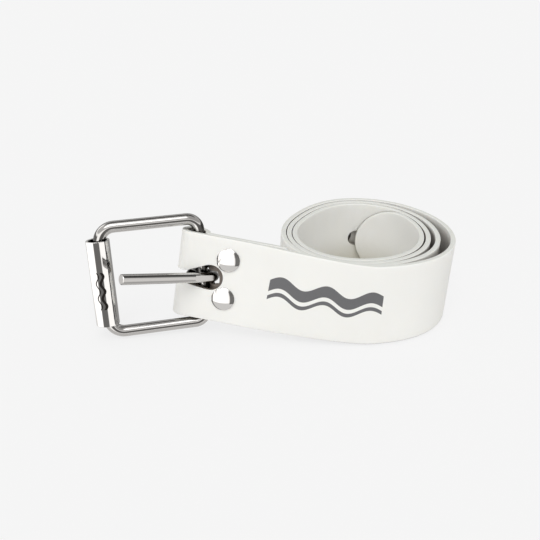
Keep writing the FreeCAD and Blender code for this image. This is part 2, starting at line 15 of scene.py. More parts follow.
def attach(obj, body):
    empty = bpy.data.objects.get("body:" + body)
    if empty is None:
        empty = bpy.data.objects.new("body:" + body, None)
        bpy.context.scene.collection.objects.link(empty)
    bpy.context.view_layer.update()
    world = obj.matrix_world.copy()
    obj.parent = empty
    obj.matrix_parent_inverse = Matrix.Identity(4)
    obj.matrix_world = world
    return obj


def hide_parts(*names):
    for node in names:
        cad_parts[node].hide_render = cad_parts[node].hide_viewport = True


MM = 0.001

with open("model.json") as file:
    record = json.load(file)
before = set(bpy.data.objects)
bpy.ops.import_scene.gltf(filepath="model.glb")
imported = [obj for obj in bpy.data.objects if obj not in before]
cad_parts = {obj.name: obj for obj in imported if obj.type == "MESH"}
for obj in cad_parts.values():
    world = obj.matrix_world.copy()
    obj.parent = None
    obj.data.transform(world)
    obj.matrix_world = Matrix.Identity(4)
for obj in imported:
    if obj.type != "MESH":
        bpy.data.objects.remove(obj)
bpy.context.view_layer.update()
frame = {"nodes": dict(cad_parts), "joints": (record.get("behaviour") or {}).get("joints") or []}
joints = {joint["name"]: joint for joint in frame["joints"]}

# ------------------------------------------------------------------- dimensions, in millimetres

WIDTH = 50.0
THICKNESS = 3.0
EDGE = 0.6              # rounding of the strap's edges
TAIL_LENGTH = 32.0      # length of the round tail
HOLE_EDGE = 0.35        # rounding of the punched holes
HOLE_RADIUS = 5.3
HOLE_SPACING = 30.0
HOLE_COUNT = 10
FIRST_HOLE = 256.0      # tail tip to first prong hole, along the strap

COIL = (49.3, 11.5)     # centre of the coil
COIL_RADIUS = 38.6      # mid surface radius of the first turn
COIL_PITCH = 3.5        # radius gained per turn
COIL_OVAL = 3.5         # how far the coil is drawn out into an oval, and in which direction
OVAL_ANGLE = math.radians(61)
COIL_BLUNT = 1.05       # how far it has three blunt corners, and in which direction
BLUNT_ANGLE = math.radians(327)
COIL_SLACK = 0.24       # how fast the turns open on the +X side
COIL_LIFT = 0.14        # how fast the outer turns climb off the floor
TAIL_TURN = 0.01        # turns are counted clockwise from the back of the coil
LEAVE_TURN = 3.48

FOLD = np.array((-44.8, -32.8, 35.7))   # mid surface of the front layer, at the rear bar
FOLD_YAW = math.radians(-7.4)
FOLD_CLIMB = math.radians(4.9)
FOLD_LEAN = math.radians(9.9)
FOLD_RADIUS = 5.5       # mid surface radius of the fold round the rear bar
FOLD_NOSE = 7.1         # rear bar to the centre of the nose
FOLD_CLOSE = 2.6        # radius with which the back layer meets the front layer
LAYER_GAP = 0.2
FRONT_STRAIGHT = 22.0
BACK_LAYER = 47.0
LEAD_PULLS = (16.7, 11.2)
BAR_ACROSS = 2.0        # middle of the rear bar, across the strap
BAR_TILT = math.radians(12.3)

RIVET_BACK = 15.3       # rear bar to the rivets
RIVET_ACROSS = (12.7, -10.3)
RIVET_HOLE = 2.3
RIVET_EDGE = 0.2        # rounding of the rivet holes

EYE_RADIUS = 6.6        # centre line of the prong's eye
PRONG_RADIUS = 2.9
PRONG_PLAY = 0.25       # air between the prong and the slot
PRONG_DROP = 3.0        # eye below the middle of the rear bar
PRONG_TILT = math.radians(11.5)
PRONG_SWING = (-38, 98)  # swing out of the strap's plane that the eye is given room for, degrees
SHANK_ROOM = (-45, 60)   # the same, for the shank where it passes through rubber

SLOT_RADIUS = 7.4       # round end of the keyhole
SLOT_BACK = -6.2        # rear bar to the centre of the round end
SLOT_ACROSS = 0.8
SLOT_POINT = 5.6        # rear bar to the narrow end of the taper
SLOT_POINT_ACROSS = -1.1
SLOT_NARROW = 3.9       # half width of the narrow end

ROLLER_RADIUS = 6.5

# ------------------------------------------------------------------------------- colours and marks

RUBBER_LIGHT = (0.87, 0.865, 0.835, 1)
RUBBER_DARK = (0.83, 0.825, 0.79, 1)
RUBBER_EDGE = (0.62, 0.63, 0.59, 1)
RUBBER_SHADE = (0.49, 0.47, 0.39, 1)     # low down, where the turns stand close together
# painted shade: the near-black rubber colour used in narrow gaps and behind the slot
RUBBER_DEEP_SHADE = (0.17, 0.145, 0.125, 1)    # in narrow gaps, and behind the slot
INK = (0.125, 0.125, 0.13, 1)
STEEL = (0.62, 0.61, 0.60, 1)
BRIGHT_STEEL = (0.80, 0.79, 0.78, 1)
# painted reflection: the steel's base colour where it would mirror a dark place in the room
STEEL_PAINTED_DARK_REFLECTION = (0.01, 0.009, 0.008, 1)     # where the steel mirrors a dark place
ETCHED = (0.015, 0.013, 0.012, 1)

OUTER_TURN = (780, 830)         # distances over which the strap comes out onto the last turn
# painted shade: the rubber is darkened towards the deep shade colour in crevices, by ambient occlusion
CREVICE_SHADES = [(0.004, 0.6, 1.0),  # reach in metres, openness below which it darkens, share
            (0.016, 0.5, 0.6)]

PRINT_CENTRE = (1028.0, 3.0)    # middle of the printed mark: along and across the strap
PRINT_LENGTH = 65.0
PRINT_HEIGHT = 2.8              # middle of the wave to its crest
PRINT_BOLD = 7.0                # thickness of the upper line
PRINT_FINE = 2.4                # thickness of the lower line
PRINT_STEP = 7.2                # upper line to lower line

ETCH_FACING = (0.05, -0.9, 0.4)  # direction that the etched side of the roller faces
ETCH_ALONG = -3.4                # middle of the etched mark, along the roller
ETCH_LENGTH = 21.5
ETCH_HEIGHT = 0.9

WAVES = 2.5                     # waves in the length of a mark
LINE_SOFT = 0.08                # softness of a mark's edges

# ---------------------------------------------------------------------- what the steel mirrors, and the dark reflections painted into its colour
# Azimuths run from the viewer's side and heights from the horizon, both in degrees.

EVERYWHERE = (-190, 190)

# dark places painted as reflections into each piece's base colour: azimuths, heights, share of the light
# left
FRAME_PAINTED_REFLECTIONS = [((5, 190), (-24, 15), 0.1),
              ((-190, -38), (-24, 15), 0.1),
              ((-100, 100), (22, 95), 0.42)]
PRONG_PAINTED_REFLECTIONS = [((80, 140), (22, 64), 0.15),
              ((30, 80), (-91, 30), 0.75),
              ((-190, -60), (-60, 30), 0.5)]
ROLLER_PAINTED_REFLECTIONS = [((-30, 27), EVERYWHERE, 0.1),
               ((88, 190), EVERYWHERE, 0.8)]
CAP_PAINTED_REFLECTIONS = [((32, 100), (-36, 48), 0.15),
            ((100, 190), EVERYWHERE, 0.4),
            ((-190, -84), EVERYWHERE, 0.4)]

# the room: azimuths, heights, brightness; later panels cover earlier ones
ROOM_BRIGHTNESS = 0.5
PANELS = [(EVERYWHERE, (-95, -24), 0.72),
          ((-100, 100), (20, 95), 1.1),
          ((-125, 25), (-28, 55), 1.5),
          ((25, 80), (-30, 20), 1.25),
          ((82, 190), (-40, 20), 0.4),
          ((100, 190), (50, 82), 0.1),
          ((-190, -100), (50, 82), 0.1)]

# -------------------------------------------------------------------------- floor, light and camera

WORLD_LIGHT = 0.72
FLOOR_TONE = (0.913, 0.913, 0.913, 1)
FLOOR_GLOW = 0.85               # share of the floor that glows evenly for the camera
KEY_DIRECTION = (0.08, 0.62, -1.0)
KEY_STRENGTH = 1.25
KEY_SOFTNESS = 40
CAMERA = (-0.00504, -0.38466, 0.2203)
CAMERA_DOWN = math.radians(26.9)
CAMERA_ROLL = 0.05
LENS = 46.67

UP = np.array((0.0, 0.0, 1.0))


def unit(vector):
    """Vector of length one."""
    return vector / np.linalg.norm(vector)


def turned(vector, axis, angle):
    """Vector turned about a unit axis, by the right-hand rule."""
    return (vector * math.cos(angle) + np.cross(axis, vector) * math.sin(angle)
            + axis * np.dot(axis, vector) * (1 - math.cos(angle)))


def smooth(share):
    """Soft step from 0 to 1."""
    return share * share * (3 - 2 * share)


# ------------------------------------------------------------------------------ the strap's path

def coil_point(turn):
    """Middle of the strap at a turn of the coil."""
    angle = math.radians(90.0 - 360.0 * turn)
    radius = COIL_RADIUS + COIL_PITCH * turn
    radius += COIL_OVAL * math.cos(2 * (angle - OVAL_ANGLE))
    radius += COIL_BLUNT * math.cos(3 * (angle - BLUNT_ANGLE))
    radius += COIL_SLACK * max(0.0, turn) ** 3 * max(0.0, math.cos(angle)) ** 2
    lift = COIL_LIFT * max(0.0, turn - 1.0) ** 2
    return np.array((COIL[0] + radius * math.cos(angle), COIL[1] + radius * math.sin(angle),
                     WIDTH / 2 + lift))


def fold_axes():
    """Directions along the strap, across it and out of its face at the fold."""
    level = np.array((-math.cos(FOLD_YAW), -math.sin(FOLD_YAW), 0.0))
    along = level * math.cos(FOLD_CLIMB) + UP * math.sin(FOLD_CLIMB)
    upright = UP * math.cos(FOLD_CLIMB) - level * math.sin(FOLD_CLIMB)
    across = turned(upright, along, FOLD_LEAN)
    return along, across, np.cross(across, along)


ALONG, ACROSS, OUTWARD = fold_axes()
BAR_UP = np.array(joints["frame_swing"]["axis"])
BAR = np.array(joints["frame_swing"]["pos_m"]) / MM
LEVEL = turned(ALONG, OUTWARD, BAR_TILT)
PRONG_FOOT = BAR - BAR_UP * PRONG_DROP


def in_fold(along, across, outward):
    """Point given in the directions of the fold."""
    return FOLD + ALONG * along + ACROSS * across + OUTWARD * outward


def coil_stations():
    """Middle, half ruling and outward direction of the strap round the coil."""
    step = 1e-4
    stations = []
    for turn in np.linspace(TAIL_TURN, LEAVE_TURN, 1200, endpoint=False):
        heading = coil_point(turn + step) - coil_point(turn - step)
        stations.append((coil_point(turn), UP, unit(np.cross(UP, heading))))
    return stations


def lead_stations(count=60):
    """The strap leaves the coil on a Bezier curve and leans over to the fold."""
    step = 1e-4
    start = coil_point(LEAVE_TURN)
    heading = unit(coil_point(LEAVE_TURN + step) - start)
    finish = in_fold(-FRONT_STRAIGHT, 0, 0)
    poles = [start, start + heading * LEAD_PULLS[0], finish - ALONG * LEAD_PULLS[1], finish]
    stations = []
    for t in np.linspace(0, 1, count, endpoint=False):
        u = 1 - t
        middle = (poles[0] * u ** 3 + poles[1] * 3 * t * u ** 2
                  + poles[2] * 3 * t ** 2 * u + poles[3] * t ** 3)
        heading = unit((poles[1] - poles[0]) * u ** 2 + (poles[2] - poles[1]) * 2 * t * u
                       + (poles[3] - poles[2]) * t ** 2)
        ruling = UP * (1 - smooth(t)) + ACROSS * smooth(t)
        ruling = unit(ruling - heading * np.dot(ruling, heading))
        stations.append((middle, ruling, np.cross(ruling, heading)))
    return stations


def fold_stations():
    """Front layer, nose, wrap round the tilted rear bar, and back layer."""
    radius, close = FOLD_RADIUS, FOLD_CLOSE
    slope = math.tan(BAR_TILT)
    stations = []
    for along in np.arange(-FRONT_STRAIGHT, FOLD_NOSE, 0.5):
        stations.append((in_fold(along, 0, 0), ACROSS, OUTWARD))
    for angle in np.radians(np.arange(0, 180, 4)):
        outward = OUTWARD * math.cos(angle) + ALONG * math.sin(angle)
        stations.append((in_fold(FOLD_NOSE, 0, -radius) + outward * radius, ACROSS, outward))

    # the rulings turn until they lie along the bar
    start = -slope * BAR_ACROSS
    for share in np.linspace(0, 1, 12, endpoint=False):
        along = FOLD_NOSE + (start - FOLD_NOSE) * share
        skew = ALONG * (slope * smooth(share))
        stations.append((in_fold(along, 0, -2 * radius), ACROSS + skew, -OUTWARD))

    rise = radius - THICKNESS - LAYER_GAP
    reach = math.sqrt((radius + close) ** 2 - (rise - close) ** 2)
    meet = math.atan2(reach, close - rise)
    ruling = ACROSS + ALONG * slope
    for angle in np.linspace(0, meet, 24, endpoint=False):
        outward = -OUTWARD * math.cos(angle) - ALONG * math.sin(angle)
        stations.append((in_fold(start - radius * math.sin(angle), 0, -radius - radius * math.cos(angle)),
                         ruling, outward))
    for angle in np.linspace(meet, 0, 16, endpoint=False):
        outward = -OUTWARD * math.cos(angle) - ALONG * math.sin(angle)
        middle = in_fold(start - reach + close * math.sin(angle), 0,
                         rise - close + close * math.cos(angle) - radius)
        stations.append((middle, ruling, outward))
    first = start - reach
    for share in np.linspace(0, 1, 60):
        along = first + (-BACK_LAYER - first) * share
        stations.append((in_fold(along, 0, -THICKNESS - LAYER_GAP),
                         ACROSS + ALONG * (slope * (1 - share)), -OUTWARD))
    return stations


stations = coil_stations() + lead_stations() + fold_stations()
MIDDLE = np.array([station[0] for station in stations])
RULING = np.array([station[1] for station in stations])
NORMAL = np.array([station[2] for station in stations])
WALKED = np.concatenate(([0.0], np.cumsum(np.linalg.norm(np.diff(MIDDLE, axis=0), axis=1))))
LENGTH = WALKED[-1]


def laid(flat):
    """Points of the flat strap (distance, across, outward) laid along the path."""
    flat = np.asarray(flat, float)

    def at(values):
        return np.stack([np.interp(flat[:, 0], WALKED, values[:, i]) for i in range(3)], axis=1)

    normal = at(NORMAL)
    normal /= np.linalg.norm(normal, axis=1)[:, None]
    return at(MIDDLE) + at(RULING) * flat[:, 1:2] + normal * flat[:, 2:3]


FRONT_START = WALKED[len(stations) - len(fold_stations())]


def front_distance(along):
    """Distance along the strap of a place on the front layer, given from the rear bar."""
    return FRONT_START + FRONT_STRAIGHT + along


def back_distance(along, across):
    """Distance along the strap at which the back layer passes over a place on the front layer."""
    distances = np.arange(LENGTH - BACK_LAYER, LENGTH, 0.1)
    points = laid([(distance, across, 0) for distance in distances])
    offsets = (points - FOLD) @ ALONG - along
    return distances[np.argmin(np.abs(offsets))]


# ------------------------------------------------------------------------- outlines of the strap

def spaced(first, last, gap):
    """Evenly spaced values that include the first and leave out the last."""
    count = max(1, round(abs(last - first) / gap))
    return np.linspace(first, last, count, endpoint=False)


def arc(centre, radius, first, last, gap=0.7):
    """Points on an arc between two angles in degrees, leaving out the last."""
    angles = np.radians(spaced(first, last, math.degrees(gap / radius)))
    return np.stack([centre[0] + radius * np.cos(angles), centre[1] + radius * np.sin(angles)], axis=1)


def side(first, last, across):
    """Points along one long side of the strap."""
    distances = spaced(first, last, 1.5)
    return np.stack([distances, np.full(len(distances), across)], axis=1)


def strap_outline(corner=2.0):
    """Outer edge of the flat strap: round tail, two long sides, square end with small corners."""
    half = WIDTH / 2
    end = spaced(corner - half, half - corner, 1.5)
    tail = arc((1, 0), 1, 90, 270, 1.2 / half) * (TAIL_LENGTH, half)
    return np.concatenate([tail,
                           side(TAIL_LENGTH, LENGTH - corner, -half),
                           arc((LENGTH - corner, corner - half), corner, 270, 360),
                           np.stack([np.full(len(end), LENGTH), end], axis=1),
                           arc((LENGTH - corner, half - corner), corner, 0, 90),
                           side(LENGTH - corner, TAIL_LENGTH, half)])


def swept_bounds(distance):
    """Across-strap room the prong's eye and shank need at a distance along the strap, or None."""
    half_thickness = THICKNESS / 2
    through = laid([(distance, 0.0, n * half_thickness) for n in (-1, -0.5, 0, 0.5, 1)])
    per_across = np.dot(laid([(distance, 1.0, 0.0)])[0] - through[2], BAR_UP)
    bounds = []
    for point in through:
        from_foot = point - PRONG_FOOT
        height = np.dot(from_foot, BAR_UP)
        beside = from_foot - BAR_UP * height
        reach = np.linalg.norm(beside)
        angle = math.degrees(math.atan2(np.dot(beside, np.cross(BAR_UP, LEVEL)), np.dot(beside, LEVEL)))
        if abs(reach - EYE_RADIUS) < PRONG_RADIUS:
            half = math.sqrt(PRONG_RADIUS ** 2 - (reach - EYE_RADIUS) ** 2) + PRONG_PLAY
            tilts = [EYE_RADIUS * math.sin(PRONG_TILT) * math.cos(math.radians(angle - swing))
                     for swing in range(PRONG_SWING[0], PRONG_SWING[1] + 1, 10)]
            bounds.append((min(tilts) - half - height, max(tilts) + half - height))
        if reach > EYE_RADIUS + 1 and SHANK_ROOM[0] < angle < SHANK_ROOM[1]:
            middle = math.tan(PRONG_TILT) * math.sqrt(reach ** 2 - EYE_RADIUS ** 2)
            half = (PRONG_RADIUS + PRONG_PLAY) / math.cos(PRONG_TILT)
            bounds.append((middle - half - height, middle + half - height))
    if not bounds:
        return None
    return min(low for low, _ in bounds) / per_across, max(high for _, high in bounds) / per_across


def slot_outline():
    """Keyhole in the front layer that runs on round the nose as a channel, to the back layer."""
    round_centre, taper_end = (SLOT_BACK, SLOT_ACROSS), (SLOT_POINT, SLOT_POINT_ACROSS)
    first = front_distance(SLOT_BACK)
    distances = np.arange(first, LENGTH - BACK_LAYER / 2, 0.5)
    lows, highs, kept = [], [], []
    for distance in distances:
        bounds = swept_bounds(distance)
        along = distance - front_distance(0)
        if along < SLOT_POINT:
            share = (along - SLOT_BACK) / (SLOT_POINT - SLOT_BACK)
            middle = round_centre[1] + (taper_end[1] - round_centre[1]) * share
            half = SLOT_RADIUS + (SLOT_NARROW - SLOT_RADIUS) * share
            bounds = (middle - half, middle + half)
        if bounds is None:
            break
        kept.append(distance)
        lows.append(bounds[0])
        highs.append(bounds[1])
    lows, highs = soften(np.array(lows), min), soften(np.array(highs), max)
    last = kept[-1]
    round_end = arc((first, SLOT_ACROSS), SLOT_RADIUS, 90, 270, 0.6)
    middle, half = (lows[-1] + highs[-1]) / 2, (highs[-1] - lows[-1]) / 2
    far_end = arc((0, 0), 1, -90, 90, 0.12) * (1.2, half) + (last, middle)
    lower = np.stack([kept, lows], axis=1)[:-1]
    upper = np.stack([kept, highs], axis=1)[1:][::-1]
    return np.concatenate([round_end, lower, far_end, upper])


def soften(values, widest, reach=3):
    """Running average of the widest values nearby, so that the slot has no steps."""
    padded = np.pad(values, reach, mode="edge")
    spread = np.array([widest(padded[i:i + 2 * reach + 1]) for i in range(len(values))])
    padded = np.pad(spread, reach, mode="edge")
    return np.convolve(padded, np.ones(2 * reach + 1) / (2 * reach + 1), mode="valid")


def round_hole(distance, across, radius):
    """Outline of a punched hole."""
    return arc((distance, across), radius, 0, 360, 0.7)


# ------------------------------------------------------------------------------- the strap's mesh

def normals_of(outline):
    """Unit normals of a closed outline, to the right of its direction of travel."""
    tangents = np.roll(outline, -1, axis=0) - np.roll(outline, 1, axis=0)
    tangents /= np.linalg.norm(tangents, axis=1)[:, None]
    return np.stack([tangents[:, 1], -tangents[:, 0]], axis=1)


def area_of(outline):
    """Signed area of a closed outline, positive when it runs counter-clockwise."""
    x, y = outline[:, 0], outline[:, 1]
    return 0.5 * np.sum(x * np.roll(y, -1) - y * np.roll(x, -1))


def inside(points, outline):
    """Whether each point lies within a closed outline."""
    found = np.zeros(len(points), bool)
    for (x0, y0), (x1, y1) in zip(outline, np.roll(outline, -1, axis=0)):
        crosses = (y0 > points[:, 1]) != (y1 > points[:, 1])
        where = x0 + (points[:, 1] - y0) * (x1 - x0) / (y1 - y0 if y1 != y0 else 1.0)
        found ^= crosses & (points[:, 0] < where)
    return found


def clear_of(points, outline, gap):
    """Whether each point is further than a gap from an outline's points."""
    keep = np.ones(len(points), bool)
    near = (points[:, 0] > outline[:, 0].min() - gap) & (points[:, 0] < outline[:, 0].max() + gap)
    for i in np.nonzero(near)[0]:
        keep[i] = np.min(np.hypot(*(outline - points[i]).T)) > gap
    return keep


def wound(outline, turn):
    """Outline that runs counter-clockwise for a turn of 1 and clockwise for a turn of -1."""
    return outline if area_of(outline) * turn > 0 else outline[::-1]


def strap_contours():
    """Outlines of the flat strap and of its holes, each with the rounding of its edge."""
    holes = [(round_hole(FIRST_HOLE + i * HOLE_SPACING, 0, HOLE_RADIUS), HOLE_EDGE)
             for i in range(HOLE_COUNT)]
    for across in RIVET_ACROSS:
        holes.append((round_hole(front_distance(-RIVET_BACK), across, RIVET_HOLE), RIVET_EDGE))
        holes.append((round_hole(back_distance(-RIVET_BACK, across), across, RIVET_HOLE), RIVET_EDGE))
    holes.append((slot_outline(), HOLE_EDGE))
    return [(wound(strap_outline(), 1), EDGE)] + [(wound(hole, -1), edge) for hole, edge in holes]


def grid_points(rims, spacing=1.5, rows=9, margin=3.5, clearance=1.0):
    """Even grid of points on the flat strap, clear of its outlines."""
    columns = spaced(spacing, LENGTH - spacing, spacing)
    heights = np.linspace(margin - WIDTH / 2, WIDTH / 2 - margin, rows)
    grid = np.array([(x, y) for x in columns for y in heights])
    grid = grid[inside(grid, rims[0])]
    for rim in rims:
        grid = grid[clear_of(grid, rim, clearance)]
    for rim in rims[1:]:
        grid = grid[~inside(grid, rim)]
    return grid


def flat_faces(rims):
    """Points and faces of the flat strap, and where each point of the rims is among them."""
    points, edges = [], []
    for rim in rims:
        first = len(points)
        points += [tuple(point) for point in rim]
        edges += [(first + i, first + (i + 1) % len(rim)) for i in range(len(rim))]
    points += [tuple(point) for point in grid_points(rims)]
    flat, _, faces, originals, _, _ = delaunay_2d_cdt([Vector(p) for p in points], edges, [], 4, 1e-6)
    if len(flat) != len(points):
        raise ValueError("the flat strap's outlines cross")
    place_of = {source[0]: index for index, source in enumerate(originals)}
    centres = np.array([np.mean([flat[i] for i in face], axis=0) for face in faces])
    solid = ~np.any([inside(centres, rim) for rim in rims[1:]], axis=0)
    return flat, [tuple(face) for face, kept in zip(faces, solid) if kept], place_of


def rounded_profile(edge, half):
    """Steps out and down from a flat face to the side and on to the other face."""
    down = [(edge * math.sin(math.radians(a)), half - edge * (1 - math.cos(math.radians(a))))
            for a in (22.5, 45, 67.5, 90)]
    return down + [(out, -height) for out, height in reversed(down)]


def flat_strap():
    """Closed mesh of the flat strap with rounded edges and punched holes: vertices and polygons."""
    contours = strap_contours()
    rims = [outline - normals_of(outline) * edge for outline, edge in contours]
    flat, faces, place_of = flat_faces(rims)
    half = THICKNESS / 2
    vertices = [(p[0], p[1], half) for p in flat] + [(p[0], p[1], -half) for p in flat]
    polygons = [face[::-1] for face in faces]
    polygons += [tuple(i + len(flat) for i in face) for face in faces]
    first = 0
    for (outline, edge), rim in zip(contours, rims):
        count = len(rim)
        top = [place_of[first + i] for i in range(count)]
        rings = [top]
        normal = normals_of(outline)
        for out, height in rounded_profile(edge, half):
            rings.append(list(range(len(vertices), len(vertices) + count)))
            vertices += [(p[0], p[1], height) for p in rim + normal * out]
        rings.append([i + len(flat) for i in top])
        for upper, lower in zip(rings, rings[1:]):
            for i in range(count):
                j = (i + 1) % count
                polygons.append((upper[i], upper[j], lower[j], lower[i]))
        first += count
    return np.array(vertices), polygons


def make_strap():
    """The strap laid along its path, as one closed mesh that remembers its flat shape."""
    vertices, polygons = flat_strap()
    mesh = bpy.data.meshes.new("strap_rubber")
    mesh.from_pydata((laid(vertices) * MM).tolist(), [], polygons)
    mesh.polygons.foreach_set("use_smooth", [True] * len(mesh.polygons))
    spot = mesh.attributes.new("spot", "FLOAT_VECTOR", "POINT")
    spot.data.foreach_set("vector", vertices.astype(np.float32).ravel())
    mesh.update()
    piece = bpy.data.objects.new("strap_rubber", mesh)
    bpy.context.scene.collection.objects.link(piece)
    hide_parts("strap")
    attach(piece, "strap")
    return piece


# -------------------------------------------------------------------------------------- materials

class Wiring:
    """Short ways to add nodes to a node tree and to wire them up."""

    def __init__(self, tree):
        self.nodes = tree.nodes
        self.links = tree.links

    def set(self, node, socket, value):
        """Give a socket a plain value, or wire another node's output into it."""
        target = node.inputs[socket]
        if isinstance(value, bpy.types.NodeSocket):
            self.links.new(value, target)
        else:
            target.default_value = value

    def math(self, operation, *values):
        """One arithmetic step."""
        node = self.nodes.new("ShaderNodeMath")
        node.operation = operation
        for index, value in enumerate(values):
            self.set(node, index, value)
        return node.outputs[0]

    def between(self, value, low, high, new_low=0.0, new_high=1.0):
        """Value remapped smoothly from one range to another."""
        node = self.nodes.new("ShaderNodeMapRange")
        node.interpolation_type = "SMOOTHSTEP"
        for index, number in enumerate((value, low, high, new_low, new_high)):
            self.set(node, index, number)
        return node.outputs[0]

    def mix(self, share, first, second):
        """Colour between two colours."""
        node = self.nodes.new("ShaderNodeMix")
        node.data_type = "RGBA"
        self.set(node, 0, share)
        self.set(node, 6, first)
        self.set(node, 7, second)
        return node.outputs[2]

    def coordinates(self, scale=(1, 1, 1)):
        """Object coordinates, stretched along the axes."""
        place = self.nodes.new("ShaderNodeTexCoord")
        stretch = self.nodes.new("ShaderNodeMapping")
        self.set(stretch, "Vector", place.outputs["Object"])
        self.set(stretch, "Scale", scale)
        return stretch.outputs[0]

    def noise(self, scale, detail=2.0, vector=None, roughness=0.5):
        """Soft noise, from 0 to 1."""
        node = self.nodes.new("ShaderNodeTexNoise")
        self.set(node, "Vector", vector if vector is not None else self.coordinates())
        self.set(node, "Scale", scale)
        self.set(node, "Detail", detail)
        self.set(node, "Roughness", roughness)
        return node.outputs[0]

    def bump(self, height, distance, strength=1.0, below=None):
        """Relief, in metres, on top of another relief."""
        node = self.nodes.new("ShaderNodeBump")
        self.set(node, "Height", height)
        self.set(node, "Distance", distance)
        self.set(node, "Strength", strength)
        if below is not None:
            self.set(node, "Normal", below)
        return node.outputs[0]

    def ray(self, kind):
        """1 for one kind of ray, else 0."""
        return self.nodes.new("ShaderNodeLightPath").outputs[kind]

    def bearing(self, direction):
        """Azimuth from the viewer's side and height above the horizon of a direction, in degrees."""
        split = self.nodes.new("ShaderNodeSeparateXYZ")
        self.set(split, 0, direction)
        x, y, z = split.outputs
        azimuth = self.math("ARCTAN2", x, self.math("MULTIPLY", y, -1.0))
        return (self.math("MULTIPLY", azimuth, 180 / math.pi),
                self.math("MULTIPLY", self.math("ARCSINE", z), 180 / math.pi))

    def panel(self, bearing, sides, soft):
        """1 inside a rectangle of bearings, fading out over its soft edges."""
        inside_both = 1.0
        for value, (low, high) in zip(bearing, sides):
            above = self.between(value, low - soft, low + soft)
            below = self.between(value, high + soft, high - soft)
            inside_both = self.math("MULTIPLY", inside_both, self.math("MULTIPLY", above, below))
        return inside_both

    def openness(self, reach):
        """How open the surroundings are within a reach in metres: 1 in the open, 0 deep inside a gap."""
        node = self.nodes.new("ShaderNodeAmbientOcclusion")
        self.set(node, "Distance", reach)
        return node.outputs["AO"]


class Shader(Wiring):
    """A node material with a Principled shader."""

    def __init__(self, name, **values):
        self.material = bpy.data.materials.new(name)
        self.material.use_nodes = True
        super().__init__(self.material.node_tree)
        self.surface = self.nodes["Principled BSDF"]
        for socket, value in values.items():
            self.set(self.surface, socket.replace("_", " "), value)

    def spot(self):
        """Place on the flat strap in millimetres: along, across, outward."""
        node = self.nodes.new("ShaderNodeAttribute")
        node.attribute_name = "spot"
        split = self.nodes.new("ShaderNodeSeparateXYZ")
        self.set(split, 0, node.outputs["Vector"])
        return node.outputs["Vector"], split.outputs


def wave_mark(shader, along, across, centre, length, height, thickness):
    """Generic printed mark: a wave line with round crests, solid where this is 1."""
    start = shader.math("SUBTRACT", along, centre[0] - length / 2)
    swell = shader.math("SINE", shader.math("MULTIPLY", start, 2 * math.pi * WAVES / length))
    line = shader.math("MULTIPLY", swell, height)
    from_centre = shader.math("SUBTRACT", across, centre[1])
    offset = shader.math("ABSOLUTE", shader.math("SUBTRACT", from_centre, line))
    in_line = shader.between(offset, thickness / 2 + LINE_SOFT, thickness / 2 - LINE_SOFT)
    beyond = shader.math("ABSOLUTE", shader.math("SUBTRACT", along, centre[0]))
    in_length = shader.between(beyond, length / 2 + LINE_SOFT, length / 2 - LINE_SOFT)
    return shader.math("MULTIPLY", in_line, in_length)


def printed_mark(shader, along, across, outward):
    """Bold wave line over a fine one, on the strap's outer face."""
    middle, centre = PRINT_CENTRE
    bold = wave_mark(shader, along, across, (middle, centre), PRINT_LENGTH, PRINT_HEIGHT, PRINT_BOLD)
    fine = wave_mark(shader, along, across, (middle, centre - PRINT_STEP), PRINT_LENGTH,
                     PRINT_HEIGHT, PRINT_FINE)
    front = shader.between(outward, THICKNESS / 2 - 0.1, THICKNESS / 2 - 0.02)
    return shader.math("MULTIPLY", shader.math("MAXIMUM", bold, fine), front)


def shaded_rubber(shader, tone, along, across, outward):
    """Painted shade: rubber darkened low between the turns, in narrow gaps and behind the slot."""
    low = shader.between(across, 9, -17)
    on_last_turn = shader.between(along, *OUTER_TURN)
    outside = shader.math("MULTIPLY", shader.between(outward, 0.0, 1.0), on_last_turn)
    crowded = shader.math("MULTIPLY", shader.between(shader.openness(0.05), 0.85, 0.3), low)
    shade = shader.math("MULTIPLY", crowded, shader.math("SUBTRACT", 1.0, outside))
    tone = shader.mix(shade, tone, RUBBER_SHADE)
    for reach, closed, share in CREVICE_SHADES:
        crevice = shader.between(shader.openness(reach), closed, 0.15)
        tone = shader.mix(shader.math("MULTIPLY", crevice, share), tone, RUBBER_DEEP_SHADE)
    # painted shade: the rubber in and behind the slot, inside the fold, is made near black
    in_fold = shader.between(along, front_distance(-20), front_distance(-15))
    near_slot = shader.between(shader.math("ABSOLUTE", across), 13, 11)
    below_face = shader.between(outward, 1.4, 1.1)
    deep = shader.math("MULTIPLY", shader.math("MULTIPLY", in_fold, near_slot), below_face)
    return shader.mix(deep, tone, RUBBER_DEEP_SHADE)


def rubber():
    """Satin off-white rubber with greyer cut edges, faint mottling, a printed wave mark, and painted
    shade between the turns and behind the slot.
    """
    shader = Shader("strap_rubber", IOR=1.45)
    vector, (along, across, outward) = shader.spot()
    mottle = shader.noise(0.03, 3, vector)
    tone = shader.mix(mottle, RUBBER_LIGHT, RUBBER_DARK)
    from_middle = shader.math("ABSOLUTE", outward)
    cut = shader.between(from_middle, THICKNESS / 2 - 0.05, THICKNESS / 2 - 0.45)
    tone = shader.mix(shader.math("MULTIPLY", cut, 0.8), tone, RUBBER_EDGE)
    tone = shaded_rubber(shader, tone, along, across, outward)
    ink = printed_mark(shader, along, across, outward)
    shader.set(shader.surface, "Base Color", shader.mix(ink, tone, INK))
    rough = shader.between(shader.noise(0.6, 4, vector), 0.3, 0.7, 0.46, 0.6)
    smoother = shader.math("MULTIPLY", ink, 0.12)
    shader.set(shader.surface, "Roughness", shader.math("SUBTRACT", rough, smoother))
    shader.set(shader.surface, "Subsurface Weight", 0.15)
    shader.set(shader.surface, "Subsurface Radius", (0.002, 0.0018, 0.0015))
    shader.set(shader.surface, "Subsurface Scale", 1.0)
    ripple = shader.bump(shader.noise(0.06, 2, vector), 0.0004)
    grain = shader.bump(shader.noise(3.0, 3, vector), 0.00003, 1.0, ripple)
    shader.set(shader.surface, "Normal", shader.bump(ink, 0.00004, 1.0, grain))
    return shader.material


